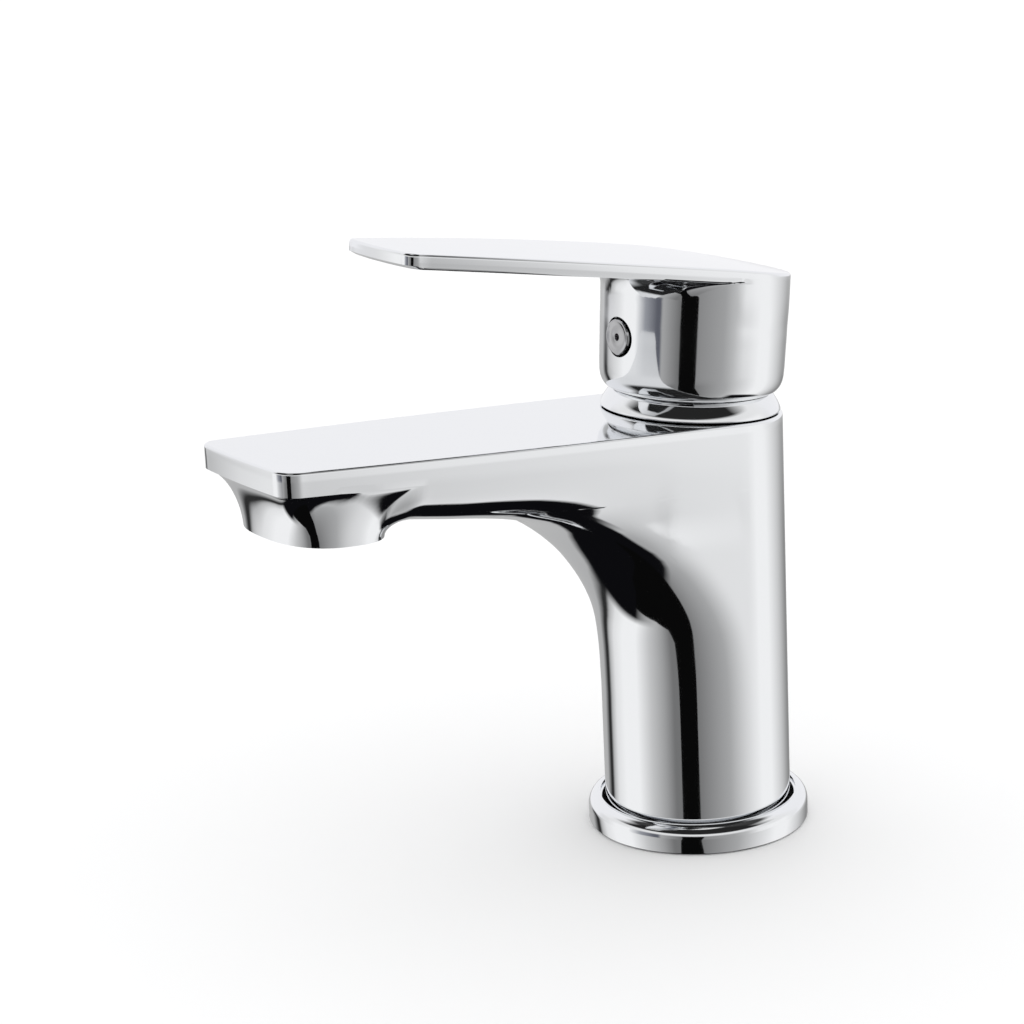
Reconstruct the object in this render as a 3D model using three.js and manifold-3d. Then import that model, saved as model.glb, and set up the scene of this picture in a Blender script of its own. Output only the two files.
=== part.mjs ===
// Single-lever basin mixer. Millimetres, +Z up. The origin is the centre of the underside of the foot, on the
// column's axis, and the spout reaches out along -Y. The column's top is cut at a slope, so everything that
// belongs to the cartridge and the lever sits in a head group that leans back by the same angle.
import * as THREE from "three";
import { mergeVertices } from "three/addons/utils/BufferGeometryUtils.js";
import Module from "manifold-3d";

const wasm = await Module();
wasm.setup();

// Column and foot
const COLUMN_R = 23.2;
const COLUMN_FOOT_Z = 1.5;
const COLUMN_SHIFT_Y = [-0.6, 0.2]; // centre at the foot and at the top
const FOOT_HOLLOW_R = 18.5;
const FOOT_ROOF_Z = 34;
const RING_R = 27.5;
const RING_BORE_R = 24.1;
const RING_HIGH = 7;
const RING_ROUNDING = 3;
const SEAL_R = 25.4;
const SEAL_THICK = 1.2;

// Sloping top, shared by the column and the spout
const TILT = THREE.MathUtils.degToRad(5);
const HEAD = new THREE.Vector3(0, 1, 105.8);
const topZ = (y) => HEAD.z - (y - HEAD.y) * Math.tan(TILT);

// Spout
const SPOUT_REACH = 123.9;
const SPOUT_ROOT_HALF = 22.9;
const SPOUT_TIP_HALF = 18.9;
const SPOUT_TAPER_POWER = 2.2;
const SPOUT_EDGE_HIGH = 5.6;
const OUTLET = new THREE.Vector3(0, -106, 96.6);
const OUTLET_HALF = [17.5, 13.7]; // across and along the spout
const AERATOR_BORE_R = 12.3;
const AERATOR_BORE_DEEP = 11.1;
const AERATOR_R = 12;
const AERATOR_INSIDE_R = 8.9;
const MESH_PITCH = 2.8;
const MESH_HOLE_HALF = 0.9;

// Water ways and fixing in the column
const INLET_R = 4.6;
const INLET_AT = [8.5, 7];
const INLET_DEEP = 14;
const STUD_R = 3.4;
const STUD_Y = -13;
const STUD_DEEP = 14;
const PORT_R = 3.2;
const PORT_SEAL_R = 4.6;
const INLET_PORT_AT = [7, 5]; // in the head frame
const OUTLET_PORT_Y = -8.5;
const RISER_Y = [-22.7, -27]; // at its foot and at its top
const RISER_R = 2.6;
const CHANNEL_HALF = [11, 4.2]; // across and upright

// Cartridge stack: heights are along the leaning axis, from the sloping top
const CHAMBER_R = 17.6;
const CHAMBER_FLOOR = -40;
const CARTRIDGE_R = 17.2;
const CARTRIDGE_BORE_R = 14.2;
const GAP = 0.3; // between neighbours that touch
const SHOULDER = -6;
const PIVOT = -15.4;
const STEM_LEAN = THREE.MathUtils.degToRad(12); // forward when the valve is shut, backward when it is full on
const STEM_HALF = [4, 3.5];
const BALL_BELOW_PIVOT = 7.4;
const BALL_R = 2.2;
const DISC_START_Y = BALL_BELOW_PIVOT * Math.sin(STEM_LEAN);

// Cap and handle
const DOME_R = 28; // about the lift pivot
const DOME_HOLE_R = 11.5;
const SKIRT_R = 22.2;
const SKIRT_BOTTOM = 5;
const LEVER_TIP_Y = -91.3;
const LEVER_TIP_HALF = 13;
const LEVER_TIP_CORNER = 4;
const LEVER_TIP_BOW = 1.2;
const LEVER_ROOT_HALF = 23.6;
const LEVER_ROOT_Y = -5;
const LEVER_REAR_LONG = LEVER_ROOT_HALF + 4;
const LEVER_THICK = 3.4;
const leverTop = (y) => 36.5 - 0.111 * y - 0.0002 * y * y;
const PLUG_HEIGHT = 18.9;
const PLUG_R = 4.65;
const PLUG_SHANK_R = 2.9;
const SCREW_HOLE_R = 3.3;
const SCREW_THREAD_R = 2.6;

const finish = (color, roughness, metalness) =>
  new THREE.MeshStandardMaterial({ color, roughness, metalness });
const chrome = finish(0xd9dcde, 0.06, 1);
const brass = finish(0xb89a5a, 0.35, 1);
const steel = finish(0x9b9d9f, 0.3, 1);
const rubber = finish(0x1c1c1d, 0.75, 0);
const acetal = finish(0xe4e4dc, 0.5, 0);
const darkPlastic = finish(0x3a3d42, 0.5, 0);
const ceramic = finish(0xf4f1e8, 0.25, 0);

// A closed geometry as a solid that can be cut and joined
function solidOf(geometry) {
  const bare = geometry.clone();
  bare.deleteAttribute("normal");
  bare.deleteAttribute("uv");
  const merged = mergeVertices(bare, 1e-4);
  return new wasm.Manifold(
    new wasm.Mesh({
      numProp: 3,
      vertProperties: merged.attributes.position.array,
      triVerts: new Uint32Array(merged.index.array),
    }),
  );
}

function geometryOf(solid) {
  const { numVert, numProp, vertProperties, triVerts } = solid.getMesh();
  const places = new Float32Array(numVert * 3);
  for (let i = 0; i < numVert; i++) {
    places.set(vertProperties.subarray(i * numProp, i * numProp + 3), i * 3);
  }
  const geometry = new THREE.BufferGeometry();
  geometry.setAttribute("position", new THREE.BufferAttribute(places, 3));
  geometry.setIndex(new THREE.BufferAttribute(new Uint32Array(triVerts), 1));
  geometry.computeVertexNormals();
  return geometry;
}

function piece(name, shape, material) {
  const mesh = new THREE.Mesh(shape.isBufferGeometry ? shape : geometryOf(shape), material);
  mesh.name = name;
  return mesh;
}

// An upright cylinder from one height to another
function drum(radius, low, high, x = 0, y = 0, sides = 32) {
  const geometry = new THREE.CylinderGeometry(radius, radius, high - low, sides);
  return solidOf(geometry.rotateX(Math.PI / 2).translate(x, y, (low + high) / 2));
}

function block(halfX, halfY, low, high) {
  return solidOf(new THREE.BoxGeometry(2 * halfX, 2 * halfY, high - low).translate(0, 0, (low + high) / 2));
}

// A cylinder between two points
function bore(radius, from, to, sides = 20) {
  const way = to.clone().sub(from);
  const geometry = new THREE.CylinderGeometry(radius, radius, way.length(), sides);
  const turn = new THREE.Quaternion().setFromUnitVectors(new THREE.Vector3(0, 1, 0), way.clone().normalize());
  geometry.applyQuaternion(turn);
  const middle = from.clone().lerp(to, 0.5);
  return solidOf(geometry.translate(middle.x, middle.y, middle.z));
}

// A shape turned about the Z axis from [radius, height] points that run round the section anticlockwise. The
// section closes on itself, unless it starts on the axis and so ends there too.
function turned(points, sides = 48) {
  const loop = points[0][0] === 0 ? points : [...points, points[0]];
  const section = loop.map(([r, z]) => new THREE.Vector2(r, z));
  return new THREE.LatheGeometry(section, sides).rotateX(Math.PI / 2);
}

function washer(outer, inner, low, high, sides = 32) {
  return turned([[inner, low], [outer, low], [outer, high], [inner, high]], sides);
}

// Points of a circle's arc in a [radius, height] section
function arc(centre, radius, from, to, steps) {
  return Array.from({ length: steps + 1 }, (_, i) => {
    const angle = THREE.MathUtils.degToRad(from + ((to - from) * i) / steps);
    return [centre[0] + radius * Math.cos(angle), centre[1] + radius * Math.sin(angle)];
  });
}

// A closed skin through rings of equally many points, with a flat end at each side
function loft(rings) {
  const count = rings[0].length;
  const places = rings.flat();
  const faces = [];
  for (let i = 0; i + 1 < rings.length; i++) {
    for (let j = 0; j < count; j++) {
      const a = i * count + j;
      const b = i * count + ((j + 1) % count);
      faces.push(a, b, b + count, a, b + count, a + count);
    }
  }
  for (const [start, flipped] of [[0, true], [(rings.length - 1) * count, false]]) {
    const middle = new THREE.Vector3();
    for (let j = 0; j < count; j++) middle.addScaledVector(places[start + j], 1 / count);
    places.push(middle);
    for (let j = 0; j < count; j++) {
      const a = start + j;
      const b = start + ((j + 1) % count);
      faces.push(...(flipped ? [b, a] : [a, b]), places.length - 1);
    }
  }
  const geometry = new THREE.BufferGeometry().setFromPoints(places);
  return geometry.setIndex(faces);
}

const signedPower = (value, power) => Math.sign(value) * Math.abs(value) ** power;

// Moves a solid from the head frame into the part's frame
const headMatrix = new THREE.Matrix4().makeRotationX(-TILT).setPosition(HEAD);
const outletMatrix = new THREE.Matrix4().makeRotationX(-TILT).setPosition(OUTLET);
function placed(solid, matrix) {
  return solidOf(geometryOf(solid).applyMatrix4(matrix));
}

// Column: a round post whose top is cut by the slope
function column() {
  const ring = (z, shift) =>
    Array.from({ length: 48 }, (_, j) => {
      const angle = (j / 48) * 2 * Math.PI;
      const y = shift + COLUMN_R * Math.sin(angle);
      return new THREE.Vector3(COLUMN_R * Math.cos(angle), y, z ?? topZ(y));
    });
  return solidOf(loft([ring(COLUMN_FOOT_Z, COLUMN_SHIFT_Y[0]), ring(null, COLUMN_SHIFT_Y[1])]));
}

// Spout: cross sections with a flat top, a thin upright edge and a rounded belly that drops into the column
function spout() {
  const stations = [
    // y, height of the belly's lowest line, squareness of the belly
    [0, 38, 2], [-12, 40, 2], [-20, 43, 2], [-23.6, 48, 2], [-24.6, 55, 2], [-27, 62, 2], [-29.1, 66, 2],
    [-31.7, 70, 2.1], [-34.7, 74, 2.2], [-38.5, 78, 2.3], [-44, 82.8, 2.5], [-50, 87, 2.8], [-60, 91.5, 3.2],
    [-70, 94, 3.4], [-80, 96, 3.5], [-90, 98, 3.5], [-100, 99.5, 3.5], [-110, 101.3, 3.4], [-116, 104, 3],
    [-120.5, 108, 2.6], [-SPOUT_REACH, topZ(-SPOUT_REACH) - SPOUT_EDGE_HIGH, 2],
  ];
  const belly = 16;
  const rings = stations.map(([y, low, square], i) => {
    const taper = (-y / SPOUT_REACH) ** SPOUT_TAPER_POWER;
    const corner = i === stations.length - 1 ? 0.88 : 1;
    const half = (SPOUT_ROOT_HALF + (SPOUT_TIP_HALF - SPOUT_ROOT_HALF) * taper) * corner;
    const edge = topZ(y) - SPOUT_EDGE_HIGH;
    const ring = [new THREE.Vector3(half, y, topZ(y)), new THREE.Vector3(-half, y, topZ(y))];
    for (let j = 0; j <= belly; j++) {
      const angle = (j / belly) * Math.PI;
      const x = -half * signedPower(Math.cos(angle), 2 / square);
      ring.push(new THREE.Vector3(x, y, edge - 0.01 - (edge - low) * Math.sin(angle) ** (2 / square)));
    }
    return ring;
  });
  return solidOf(loft(rings));
}

// Outlet boss under the spout's tip, a squarish oval with tapered walls
function outletBoss() {
  const ring = (z, grow) =>
    Array.from({ length: 40 }, (_, j) => {
      const angle = (j / 40) * 2 * Math.PI;
      const x = (OUTLET_HALF[0] + grow) * signedPower(Math.cos(angle), 2 / 2.5);
      const y = (OUTLET_HALF[1] + grow) * signedPower(Math.sin(angle), 2 / 2.5);
      return new THREE.Vector3(x, y, z);
    });
  return placed(solidOf(loft([ring(0, 0), ring(4, 0.5), ring(9, 1.2), ring(12, 1.6)])), outletMatrix);
}

// Water way along the spout: a flat oval channel from the riser to above the aerator
function spoutChannel() {
  const ring = (y, z, half) =>
    Array.from({ length: 20 }, (_, j) => {
      const angle = (j / 20) * 2 * Math.PI;
      return new THREE.Vector3(half * Math.cos(angle), y, z + CHANNEL_HALF[1] * Math.sin(angle));
    });
  const wide = CHANNEL_HALF[0];
  return solidOf(loft([
    ring(RISER_Y[1] + 3, 98.6, RISER_R + 1), ring(RISER_Y[1] - 10, 99.8, wide), ring(-70, 103, wide),
    ring(OUTLET.y + 4, 106.6, wide - 2),
  ]));
}

// Casting: column, spout and boss in one brass piece, bored for the cartridge, the water and the fixing stud
function bodyCasting() {
  const floorPoint = (x, y, z) => new THREE.Vector3(x, y, z).applyMatrix4(headMatrix);
  const crossZ = CHAMBER_FLOOR - 4.5;
  const outletPort = floorPoint(0, OUTLET_PORT_Y, crossZ);
  const riserFoot = new THREE.Vector3(0, RISER_Y[0], outletPort.z);
  const riserTop = new THREE.Vector3(0, RISER_Y[1], 99);
  const cuts = [
    placed(drum(CHAMBER_R, CHAMBER_FLOOR, 8, 0, 0, 48), headMatrix),
    placed(drum(AERATOR_BORE_R, -4, AERATOR_BORE_DEEP, 0, 0, 40), outletMatrix),
    placed(drum(PORT_R, crossZ, CHAMBER_FLOOR + 1, 0, OUTLET_PORT_Y, 20), headMatrix),
    bore(RISER_R, outletPort.clone().add(new THREE.Vector3(0, 3, 0)), riserFoot, 16),
    bore(RISER_R, riserFoot.clone().add(new THREE.Vector3(0, 0, -1.6)), riserTop, 16),
    spoutChannel(),
    drum(FOOT_HOLLOW_R, 0, FOOT_ROOF_Z, 0, 0, 40),
    drum(STUD_R, 0, FOOT_ROOF_Z + STUD_DEEP, 0, STUD_Y, 20),
  ];
  for (const side of [-1, 1]) {
    const [x, y] = [side * INLET_PORT_AT[0], INLET_PORT_AT[1]];
    const inletTop = FOOT_ROOF_Z + INLET_DEEP;
    const elbow = floorPoint(x, y, CHAMBER_FLOOR - 5);
    cuts.push(drum(INLET_R, 0, inletTop, side * INLET_AT[0], INLET_AT[1], 20));
    cuts.push(bore(PORT_R, new THREE.Vector3(side * INLET_AT[0], INLET_AT[1], inletTop - 2), elbow, 16));
    cuts.push(placed(drum(PORT_R, CHAMBER_FLOOR - 7, CHAMBER_FLOOR + 1, x, y, 20), headMatrix));
  }
  return cuts.reduce((made, cut) => made.subtract(cut), column().add(spout()).add(outletBoss()));
}

// Base ring: a chrome ring round the column's foot, rounded above and rebated below for the seal
function baseRing() {
  const rounding = arc([RING_R - RING_ROUNDING, RING_HIGH - RING_ROUNDING], RING_ROUNDING, 0, 90, 4);
  return turned([
    [SEAL_R + GAP, 0.2], [RING_R - 0.4, 0.2], [RING_R, 0.6], ...rounding,
    [RING_BORE_R + 0.9, RING_HIGH], [RING_BORE_R + 0.5, RING_HIGH - 1.2], [RING_BORE_R, RING_HIGH - 1.2],
    [RING_BORE_R, COLUMN_FOOT_Z], [SEAL_R + GAP, COLUMN_FOOT_Z],
  ], 48);
}

// Base seal: a rubber disc that the mixer stands on, holed for the hoses and the stud
function baseSeal() {
  const holes = [drum(STUD_R + 1, -1, 2, 0, STUD_Y, 20)];
  for (const side of [-1, 1]) holes.push(drum(INLET_R + 0.6, -1, 2, side * INLET_AT[0], INLET_AT[1], 24));
  return holes.reduce((made, hole) => made.subtract(hole), drum(SEAL_R, 0, SEAL_THICK, 0, 0, 48));
}

// Aerator: a screwed sleeve, a moulded flow straightener, a fine screen and a flat washer above
function aerator() {
  const group = new THREE.Group();
  const sleeve = turned([
    [9.7, 0.3], [AERATOR_R, 0.3], [AERATOR_R, 8.6], [9.7, 8.6], [9.7, 7.6], [9.2, 7.1], [9.2, 2], [9.7, 1.5],
  ], 40);
  let straightener = drum(AERATOR_INSIDE_R, 2.2, 6, 0, 0, 40);
  for (let i = 0; i < 7; i++) {
    const angle = (i / 6) * 2 * Math.PI;
    const off = i === 6 ? 0 : 5.6;
    straightener = straightener.subtract(drum(1.9, 1, 7, off * Math.cos(angle), off * Math.sin(angle), 6));
  }
  let screen = drum(AERATOR_INSIDE_R, 6.3, 7, 0, 0, 40);
  for (let x = -2; x <= 2; x++) {
    for (let y = -2; y <= 2; y++) {
      const hole = block(MESH_HOLE_HALF, MESH_HOLE_HALF, 6, 8);
      screen = screen.subtract(hole.translate([x * MESH_PITCH, y * MESH_PITCH, 0]));
    }
  }
  group.add(piece("aerator_sleeve", sleeve, chrome));
  group.add(piece("aerator_straightener", straightener, acetal));
  group.add(piece("aerator_screen", screen, steel));
  group.add(piece("aerator_washer", washer(AERATOR_R, 8.4, 8.9, 10.8, 40), rubber));
  group.applyMatrix4(outletMatrix);
  return group;
}

// Cartridge base: a plastic foot with three ports, each with a seal let into its underside
function cartridgeFoot() {
  const group = new THREE.Group();
  const low = CHAMBER_FLOOR + 0.9;
  const [portX, portY] = INLET_PORT_AT;
  const ports = [[portX, portY, "hot"], [-portX, portY, "cold"], [0, OUTLET_PORT_Y, "outlet"]];
  let foot = drum(CARTRIDGE_R, low, low + 6, 0, 0, 48);
  for (const [x, y, name] of ports) {
    const groove = drum(PORT_SEAL_R + GAP, low - 1, low + 1.7, x, y, 24);
    foot = foot.subtract(drum(PORT_R, low - 1, low + 7, x, y, 20)).subtract(groove);
    const seal = washer(PORT_SEAL_R, PORT_R, CHAMBER_FLOOR + GAP, low + 1.4, 24).translate(x, y, 0);
    group.add(piece(`${name}_port_seal`, seal, rubber));
  }
  group.add(piece("cartridge_base", foot, darkPlastic));
  return group;
}

// Fixed disc: the lower ceramic plate, with the three ports right through it
function fixedDisc() {
  const low = CHAMBER_FLOOR + 7.2;
  let disc = drum(CARTRIDGE_BORE_R - GAP, low, low + 3.6, 0, 0, 40);
  for (const [x, y] of [INLET_PORT_AT, [-INLET_PORT_AT[0], INLET_PORT_AT[1]], [0, OUTLET_PORT_Y + 1]]) {
    disc = disc.subtract(drum(2.9, low - 1, low + 5, x, y, 20));
  }
  return disc;
}

// Moving disc: the upper ceramic plate, hollowed below so that water crosses from the inlets to the outlet
function movingDisc() {
  const hollow = drum(7.2, -30, -26.8, 0, 0, 32);
  return drum(11.4, CHAMBER_FLOOR + 11.1, -25.4, 0, 0, 40).subtract(hollow);
}

// Disc carrier: the slider on the moving disc, with a socket for the ball at the stem's foot
function discCarrier() {
  return drum(11, -25.1, -21.1, 0, 0, 40).subtract(drum(BALL_R + GAP, -26, -20, 0, 0, 24));
}

// Cartridge housing: the outer can, closed above by a shoulder and a neck
function cartridgeHousing() {
  const low = CHAMBER_FLOOR + 7.2;
  return turned([
    [CARTRIDGE_BORE_R, low], [CARTRIDGE_R, low], [CARTRIDGE_R, SHOULDER], [12.4, SHOULDER], [12.4, 2],
    [9.9, 2], [9.9, SHOULDER - 2.7], [CARTRIDGE_BORE_R, SHOULDER - 2.7],
  ]);
}

// Stem guide: the turret that turns in the housing. It is slotted fore and aft for the stem, and cross-bored for
// its pin
function stemGuide() {
  const neck = drum(9.4, -10, -4.4, 0, 0, 40);
  const post = drum(CARTRIDGE_BORE_R - 0.5, -20.8, SHOULDER - 3, 0, 0, 40).add(neck);
  const pinHole = bore(1.55, new THREE.Vector3(-20, 0, PIVOT), new THREE.Vector3(20, 0, PIVOT));
  return post.subtract(block(STEM_HALF[0] + 0.4, 6.6, -22, 0)).subtract(pinHole);
}

// Stem: a square bar on the pin, with a neck and a ball below it; it is drawn upright about its own pivot
function stem() {
  const ball = solidOf(new THREE.SphereGeometry(BALL_R, 20, 12).translate(0, 0, -BALL_BELOW_PIVOT));
  const bar = block(...STEM_HALF, -3, 45).add(drum(1.6, -BALL_BELOW_PIVOT, -2, 0, 0, 16)).add(ball);
  return bar.subtract(bore(1.8, new THREE.Vector3(-9, 0, 0), new THREE.Vector3(9, 0, 0), 24));
}

const stemPin = () =>
  geometryOf(bore(1.45, new THREE.Vector3(-12.6, 0, PIVOT), new THREE.Vector3(12.6, 0, PIVOT), 24));

// Retaining nut: a brass ring screwed down on the cartridge's shoulder, with a low hexagon for the spanner
function retainingNut() {
  const hexagon = drum(16.6, -1, 3.2, 0, 0, 6);
  const threaded = drum(CHAMBER_R - GAP, SHOULDER + GAP, 0.2, 0, 0, 48);
  return threaded.add(hexagon).subtract(drum(12.8, -9, 5, 0, 0, 40));
}

// Cap: the dome over the nut. Its crown is a zone of a ball about the lift pivot, so the tilting handle clears it
function cap() {
  const zone = (radius, from, to, steps) => {
    const angleAt = (r) => THREE.MathUtils.radToDeg(Math.acos(r / radius));
    return arc([0, PIVOT], radius, angleAt(from), angleAt(to), steps);
  };
  return turned([
    [19.7, GAP], [21.9, GAP], [21.8, 1], [21.1, 2.4], [20.2, 3.7],
    ...zone(DOME_R, 19.4, DOME_HOLE_R, 5), ...zone(DOME_R - 1.6, DOME_HOLE_R, 18.6, 4), [19.3, 2.4],
  ], 40);
}

// A rubber ring between the cap and the nut's collar
const capRing = () => turned(arc([18.5, 0.95], 0.6, 0, 315, 7), 32);

// Handle: a thin round skirt and a long flat lever in one casting, with a socket inside for the stem
function handle() {
  const skirt = turned([
    [0, 31.6], [20.4, 31.6], [20.4, 7.6], [19.6, SKIRT_BOTTOM], [19.9, SKIRT_BOTTOM], [20.9, 5.7],
    [21.6, 6.9], [22.05, 8.6], [SKIRT_R, 10.6], [22.7, 34], [0, 34],
  ], 44);
  const lever = solidOf(leverPlate());
  const along = new THREE.Matrix4().makeRotationX(STEM_LEAN).setPosition(0, 0, PIVOT);
  const socket = placed(drum(8, 30.5, 49.5, 0, 0, 32), along);
  const stemHole = placed(block(STEM_HALF[0] + GAP, STEM_HALF[1] + GAP, 28, 45.5), along);
  const front = (radius, from, to) =>
    bore(radius, new THREE.Vector3(0, from, PLUG_HEIGHT), new THREE.Vector3(0, to, PLUG_HEIGHT), 24);
  const holes = [stemHole, front(SCREW_HOLE_R, -26, -17), front(SCREW_THREAD_R, -18, -8)];
  return holes.reduce((made, hole) => made.subtract(hole), solidOf(skirt).add(socket).add(lever));
}

// Lever: a plate whose sides taper on a curve to the tip and whose rear is round; it rises towards the tip
function leverPlate() {
  const right = [];
  const steps = 12;
  const span = LEVER_ROOT_Y - LEVER_TIP_Y;
  for (let i = 0; i <= steps; i++) {
    const t = 1 - i / steps;
    const y = LEVER_ROOT_Y - span * t + (i === 0 ? LEVER_TIP_CORNER : 0);
    right.push([LEVER_ROOT_HALF + (LEVER_TIP_HALF - LEVER_ROOT_HALF) * t ** 1.8, y]);
  }
  for (let i = 1; i < steps; i++) {
    const angle = (i / steps) * (Math.PI / 2);
    right.push([LEVER_ROOT_HALF * Math.cos(angle), LEVER_ROOT_Y + LEVER_REAR_LONG * Math.sin(angle)]);
  }
  const tip = [
    [0, LEVER_TIP_Y - LEVER_TIP_BOW], [LEVER_TIP_HALF * 0.6, LEVER_TIP_Y - LEVER_TIP_BOW * 0.6],
    [LEVER_TIP_HALF - 1, LEVER_TIP_Y + 1],
  ];
  const half = [...tip, ...right, [0, LEVER_ROOT_Y + LEVER_REAR_LONG]];
  const left = half.slice(1, -1).reverse().map(([x, y]) => [-x, y]);
  const outline = new THREE.Shape([...half, ...left].map(([x, y]) => new THREE.Vector2(x, y)));
  const plate = new THREE.ExtrudeGeometry(outline, { depth: LEVER_THICK, bevelEnabled: false });
  const places = plate.attributes.position;
  for (let i = 0; i < places.count; i++) {
    places.setZ(i, places.getZ(i) - LEVER_THICK + leverTop(places.getY(i)));
  }
  return plate;
}

// Set screw: a socket grub screw in the handle that grips the stem
function setScrew() {
  const at = (y) => new THREE.Vector3(0, y, PLUG_HEIGHT);
  return bore(SCREW_THREAD_R - GAP, at(-15.6), at(-11.6), 20).subtract(bore(1.3, at(-17), at(-13.6), 6));
}

// Index plug: the round button that closes the screw's hole in the skirt
function indexPlug() {
  const at = (y) => new THREE.Vector3(0, y, PLUG_HEIGHT);
  const button = bore(PLUG_R, at(-24.6), at(-22.9), 32).add(bore(PLUG_SHANK_R, at(-23), at(-19), 24));
  return button.subtract(bore(0.7, at(-25), at(-20), 12));
}

const mixer = new THREE.Group();
mixer.add(piece("body_casting", bodyCasting(), chrome));
mixer.add(piece("base_ring", baseRing(), chrome));
mixer.add(piece("base_seal", baseSeal(), rubber));
mixer.add(aerator());

const head = new THREE.Group();
head.rotation.x = -TILT;
head.position.copy(HEAD);
mixer.add(head);
head.add(cartridgeFoot());
head.add(piece("fixed_disc", fixedDisc(), ceramic));
head.add(piece("cartridge_housing", cartridgeHousing(), acetal));
head.add(piece("retaining_nut", retainingNut(), brass));
head.add(piece("cap", cap(), chrome));
head.add(piece("cap_o_ring", capRing(), rubber));

const slider = new THREE.Group();
slider.position.y = DISC_START_Y;
slider.add(piece("moving_disc", movingDisc(), ceramic));
slider.add(piece("disc_carrier", discCarrier(), darkPlastic));
head.add(slider);

head.add(piece("stem_guide", stemGuide(), acetal));
head.add(piece("stem_pin", stemPin(), steel));
const stemPiece = piece("stem", stem(), steel);
stemPiece.position.z = PIVOT;
stemPiece.rotation.x = STEM_LEAN;
head.add(stemPiece);
head.add(piece("handle", handle(), chrome));
head.add(piece("set_screw", setScrew(), steel));
head.add(piece("index_plug", indexPlug(), steel));

export default mixer;
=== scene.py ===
# Single-lever basin mixer, chromium plated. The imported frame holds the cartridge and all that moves. Here
# the bright outer pieces are made and every piece gets its finish. Metres, +Z up, the spout along -Y.
import math

import bmesh
import bpy
from mathutils import Matrix, Vector


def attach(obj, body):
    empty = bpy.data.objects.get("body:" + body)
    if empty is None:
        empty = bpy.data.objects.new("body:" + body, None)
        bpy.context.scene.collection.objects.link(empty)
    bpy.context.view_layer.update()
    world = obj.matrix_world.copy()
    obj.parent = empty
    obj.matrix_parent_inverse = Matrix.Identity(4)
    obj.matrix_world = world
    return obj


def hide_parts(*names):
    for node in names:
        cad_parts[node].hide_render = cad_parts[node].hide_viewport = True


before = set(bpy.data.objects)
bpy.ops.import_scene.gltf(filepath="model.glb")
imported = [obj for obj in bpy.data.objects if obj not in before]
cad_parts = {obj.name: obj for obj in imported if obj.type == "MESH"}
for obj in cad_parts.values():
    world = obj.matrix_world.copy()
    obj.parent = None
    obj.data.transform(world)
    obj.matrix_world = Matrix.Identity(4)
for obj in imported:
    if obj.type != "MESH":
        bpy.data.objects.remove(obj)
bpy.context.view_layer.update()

# --- Camera ---------------------------------------------------------------------------------------
# A long lens about 0.7 m out and 0.13 m above the handle, on the right of someone who stands at the basin,
# and rolled very slightly.
CAMERA_AZIMUTH = 0.9213
CAMERA_OUT = 0.7101
CAMERA_HEIGHT = 0.2888
CAMERA_ROLL = 0.0461
CAMERA_LENS = 106.0
LOOK_AT = Vector((-0.02635, -0.03470, 0.0806))


def aim_camera():
    place = Vector((math.sin(CAMERA_AZIMUTH), -math.cos(CAMERA_AZIMUTH), 0)) * CAMERA_OUT
    place.z = CAMERA_HEIGHT
    turn = (LOOK_AT - place).to_track_quat("-Z", "Y").to_matrix().to_4x4()
    data = bpy.data.cameras.new("camera")
    data.lens = CAMERA_LENS
    camera = bpy.data.objects.new("camera", data)
    camera.matrix_world = Matrix.Translation(place) @ turn @ Matrix.Rotation(-CAMERA_ROLL, 4, "Z")
    bpy.context.scene.collection.objects.link(camera)
    bpy.context.scene.camera = camera


aim_camera()

# --- Body casting ---------------------------------------------------------------------------------
# One brass casting, polished and plated: a round column, a spout with a flat sloping top and a rounded belly,
# and a squarish boss under the tip for the aerator. It stands on the foot seal, inside the base ring. Its
# sizes, and those of the other pieces, are in millimetres until solid_from makes the finished piece.
MM = 0.001
COLUMN_R = 23.2
FOOT_Z = 1.5
TILT = math.radians(5)
HEAD = Vector((0, 1, 105.8))
HEAD_TURN = Matrix.Translation(HEAD) @ Matrix.Rotation(-TILT, 4, "X")
SPOUT_REACH = 124.4
SPOUT_TIP_HALF = 18.9
SPOUT_TAPER = 2.2
TIP_CORNER_R = 5.0
TIP_BOW = 0.5
BAND_HIGH = 5.6
RIM_R = 0.7
POST_DEPTHS = (16, 30)  # over these depths below the top, the belly's width turns into the round column's
CROSSING_Y = -88.0  # the belly meets the boss here
CROSSING_BEND = 4.0
CROSSING_CROWD = 0.8
BELLY_REACH = 90
BOSS_CENTRE_Y = -106.0
BOSS_HALF = (17.5, 13.7)
BOSS_DEEP = 18.5
BOSS_SQUARE = 2.5
BOSS_ROUND = 0.85  # how much of the boss's hollow is a quarter round; the rest is straight
AERATOR_BORE_R = 12.3
AERATOR_BORE_DEEP = 11.1
CHAMBER_R = 17.6
CHAMBER_DEEP = 40.0
FOOT_HOLLOW_R = 18.5
FOOT_ROOF_Z = 34.0


def top_z(y):
    return HEAD.z - (y - HEAD.y) * math.tan(TILT)


def between(x, xs, ys):
    """A smooth curve through a few points (monotone cubic)."""
    if x <= xs[0]:
        return ys[0]
    if x >= xs[-1]:
        return ys[-1]
    slopes = [(ys[i + 1] - ys[i]) / (xs[i + 1] - xs[i]) for i in range(len(xs) - 1)]
    ends = [slopes[0], *slopes, slopes[-1]]
    lean = [0 if a * b <= 0 else 2 * a * b / (a + b) for a, b in zip(ends, ends[1:])]
    i = max(k for k in range(len(xs) - 1) if xs[k] <= x)
    width = xs[i + 1] - xs[i]
    t = (x - xs[i]) / width
    return (
        (2 * t**3 - 3 * t * t + 1) * ys[i]
        + (t**3 - 2 * t * t + t) * width * lean[i]
        + (3 * t * t - 2 * t**3) * ys[i + 1]
        + (t**3 - t * t) * width * lean[i + 1]
    )


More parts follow.
